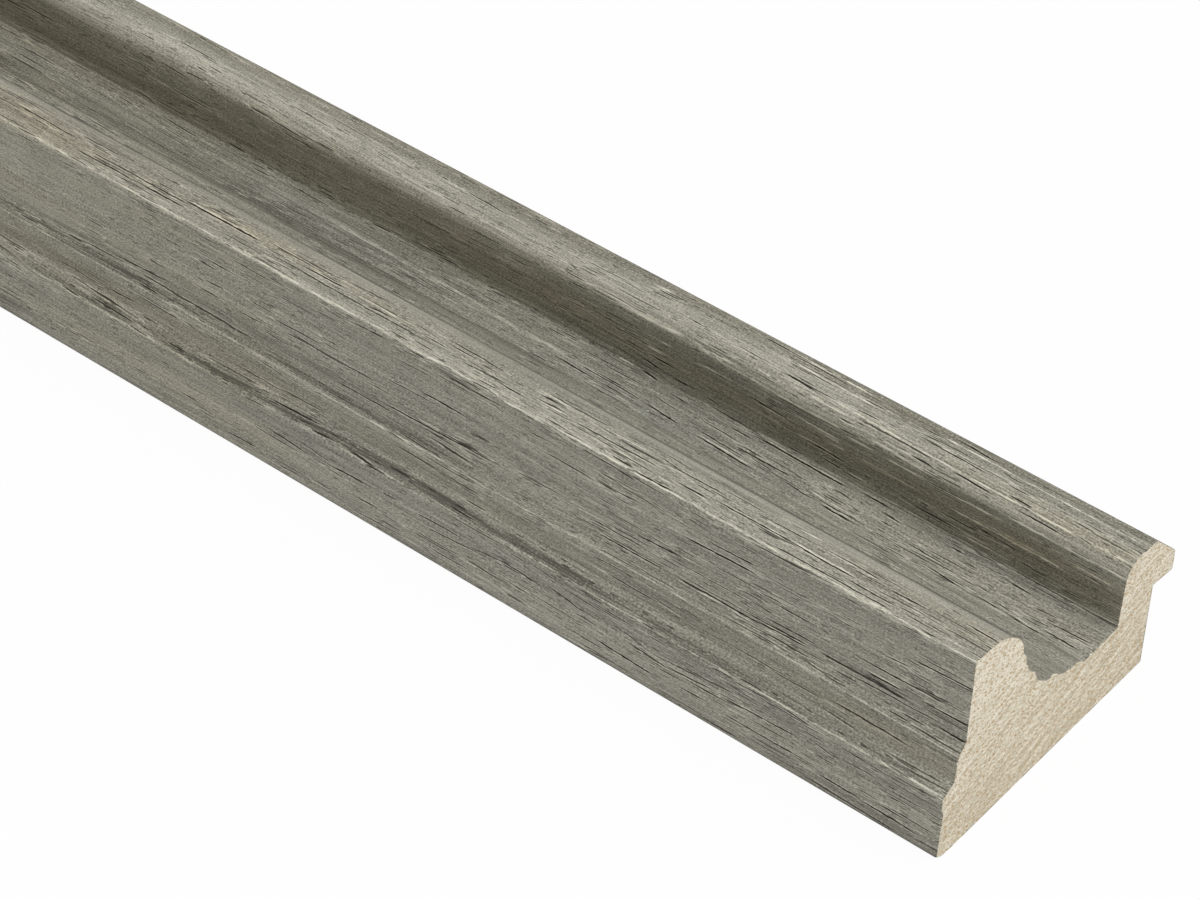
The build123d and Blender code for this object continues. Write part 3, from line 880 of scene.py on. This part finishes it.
def planed_wood():
    """Bare planed wood, on the back and in the rabbet: fine pores, and the planer's faint ripples."""
    shader = Shader("planed_wood")
    wandering_grain(shader, 5.0, 0.6)
    kept = shader.math("MULTIPLY_ADD", shader.noise(60, 4, 3), 1.6, 0.5)
    dark, edge = dashes(shader, 9.0, 0.8, 4, kept)
    tone = shader.plus(
        0.5,
        shader.times(shader.noise(160, 6, 7), 1.0),
        shader.times(shader.noise(45, 0.9, 8), 0.9),
        shader.times(shader.noise(5, 0.3, 9), 0.5),
    )
    base = shader.mix(shader.eased(tone, 0.0, 1.0), colour(PLANED_DARK), colour(PLANED_PALE))
    base = shader.mix(shader.times(dark, 0.6), base, colour(PLANED_PORE))
    ripple = shader.math("SINE", shader.times(shader.along, 2 * math.pi / RIPPLE_MM))
    height = shader.plus(
        shader.times(ripple, 0.004),
        shader.times(dark, -0.05),
        shader.times(shader.noise(8, 0.3, 15), 0.05),
        shader.times(edge, 0.01),
    )
    rough = shader.plus(0.7, shader.times(shader.noise(12, 0.6, 14), 0.3))
    return shader.finish(base, rough, height)


def end_grain():
    """The sawn end: cream wood with tan pores in slanting rows, and the coat's thin edge."""
    shader = Shader("end_grain")
    upright = shader.across
    bend = shader.times(shader.noise(14, 9, 1), 2.0)
    fall = shader.times(shader.along, -math.tan(math.radians(ROW_SLOPE)))
    shader.across = shader.plus(upright, fall, bend)
    rows = shader.noise(12, 1.1, 7)
    rise = shader.times(shader.along, math.tan(math.radians(PORE_SLOPE)))
    shader.across = shader.plus(upright, rise, bend)
    distance, chance = shader.cells(1.5, 0.62, 4)
    there = shader.math("LESS_THAN", chance[0], shader.plus(0.6, shader.times(rows, 1.6)))
    spot = shader.times(there, shader.eased(distance, 0.16, 0.32, 1.0, 0.0))
    tone = shader.plus(
        0.37,
        # the end face's tone grows darker towards the bottom
        shader.times(upright, 0.007),
        shader.times(rows, -0.8),
        shader.times(shader.noise(2.4, 0.6, 8), 0.8),
        shader.times(shader.noise(0.5, 0.4, 9), 1.4),
    )
    base = shader.mix(shader.eased(tone, 0.0, 1.0), colour(END_DARK), colour(END_PALE))
    base = shader.mix(shader.times(spot, 0.9), base, colour(END_PORE))
    coat = shader.eased(shader.plus(shader.layer("skin"), shader.noise(0.6, 0.6, 10)), 0.45, 0.75)
    base = shader.mix(shader.times(coat, 0.7), base, colour(COAT_EDGE))
    rough = shader.plus(0.8, shader.times(shader.noise(1, 1, 11), 0.2))
    height = shader.plus(shader.times(spot, -0.05), shader.times(shader.noise(0.7, 0.5, 12), 0.12))
    return shader.finish(base, rough, height)


# The stage


def white_to_the_eye(tree, shader, strength):
    """Mix a white glow into a shader's output, for the camera and for what mirrors or passes it."""
    path = tree.nodes.new("ShaderNodeLightPath")
    seen = None
    for ray in ("Is Camera Ray", "Is Glossy Ray", "Is Transmission Ray"):
        either = tree.nodes.new("ShaderNodeMath")
        either.operation = "MAXIMUM"
        tree.links.new(path.outputs[ray], either.inputs[0])
        if seen:
            tree.links.new(seen, either.inputs[1])
        seen = either.outputs[0]
    share = tree.nodes.new("ShaderNodeMath")
    share.operation = "MULTIPLY"
    share.inputs[1].default_value = strength
    tree.links.new(seen, share.inputs[0])
    mix = tree.nodes.new("ShaderNodeMixShader")
    tree.links.new(share.outputs[0], mix.inputs[0])
    tree.links.new(shader, mix.inputs[1])
    return mix


def lay_floor():
    """A plain pale floor that keeps a faint shadow of the stick."""
    material = bpy.data.materials.new("studio_floor")
    material.use_nodes = True
    tree = material.node_tree
    surface = tree.nodes["Principled BSDF"]
    surface.inputs["Base Color"].default_value = colour(FLOOR_GREY)
    surface.inputs["Roughness"].default_value = 0.9
    surface.inputs["Specular IOR Level"].default_value = 0.0
    glow = tree.nodes.new("ShaderNodeEmission")
    mix = white_to_the_eye(tree, surface.outputs[0], FLOOR_WHITE)
    tree.links.new(glow.outputs[0], mix.inputs[2])
    tree.links.new(mix.outputs[0], tree.nodes["Material Output"].inputs["Surface"])
    bpy.ops.mesh.primitive_plane_add(size=FLOOR_SIZE, location=(0, 0, FLOOR_LIFT))
    floor = bpy.context.object
    floor.name = "studio_floor"
    floor.data.materials.append(material)


def light_world():
    """A soft white dome, plain white where the camera sees it."""
    world = bpy.data.worlds.new("studio_dome")
    world.use_nodes = True
    tree = world.node_tree
    dome = tree.nodes["Background"]
    dome.inputs["Strength"].default_value = DOME_STRENGTH
    white = tree.nodes.new("ShaderNodeBackground")
    white.inputs["Color"].default_value = (1, 1, 1, 1)
    dome.inputs["Color"].default_value = (1, 1, 1, 1)
    mix = white_to_the_eye(tree, dome.outputs[0], 1.0)
    tree.links.new(white.outputs[0], mix.inputs[2])
    tree.links.new(mix.outputs[0], tree.nodes["World Output"].inputs["Surface"])
    bpy.context.scene.world = world


def add_light(name, place, size, power):
    """A square soft light, turned to the stick's near part."""
    lamp = bpy.data.lights.new(name, "AREA")
    lamp.shape = "SQUARE"
    lamp.size = size
    lamp.energy = power
    light = bpy.data.objects.new(name, lamp)
    light.location = place
    light.rotation_euler = (LIT_POINT - Vector(place)).to_track_quat("-Z", "Y").to_euler()
    bpy.context.scene.collection.objects.link(light)


def place_camera():
    """The photograph's camera."""
    camera = bpy.data.objects.new("camera", bpy.data.cameras.new("camera"))
    camera.data.lens = LENS_MM
    camera.data.sensor_width = SENSOR_MM
    camera.data.sensor_fit = "HORIZONTAL"
    camera.data.clip_start = 0.01
    camera.data.clip_end = 100
    turn = Matrix((CAMERA_RIGHT, CAMERA_UP, CAMERA_RIGHT.cross(CAMERA_UP))).transposed()
    camera.matrix_world = Matrix.Translation(CAMERA_AT) @ turn.to_4x4()
    bpy.context.scene.collection.objects.link(camera)
    bpy.context.scene.camera = camera


PORE_SETS = spread_out(PORES)
PALE_SETS = spread_out(PALE_LINES)
stick = build_stick()
for material in (grey_finish(), planed_wood(), end_grain()):
    stick.data.materials.append(material)
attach(stick, "root")
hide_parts("moulding")

lay_floor()
light_world()
for light in LIGHTS:
    add_light(*light)
place_camera()
bpy.context.scene.view_settings.view_transform = "Standard"
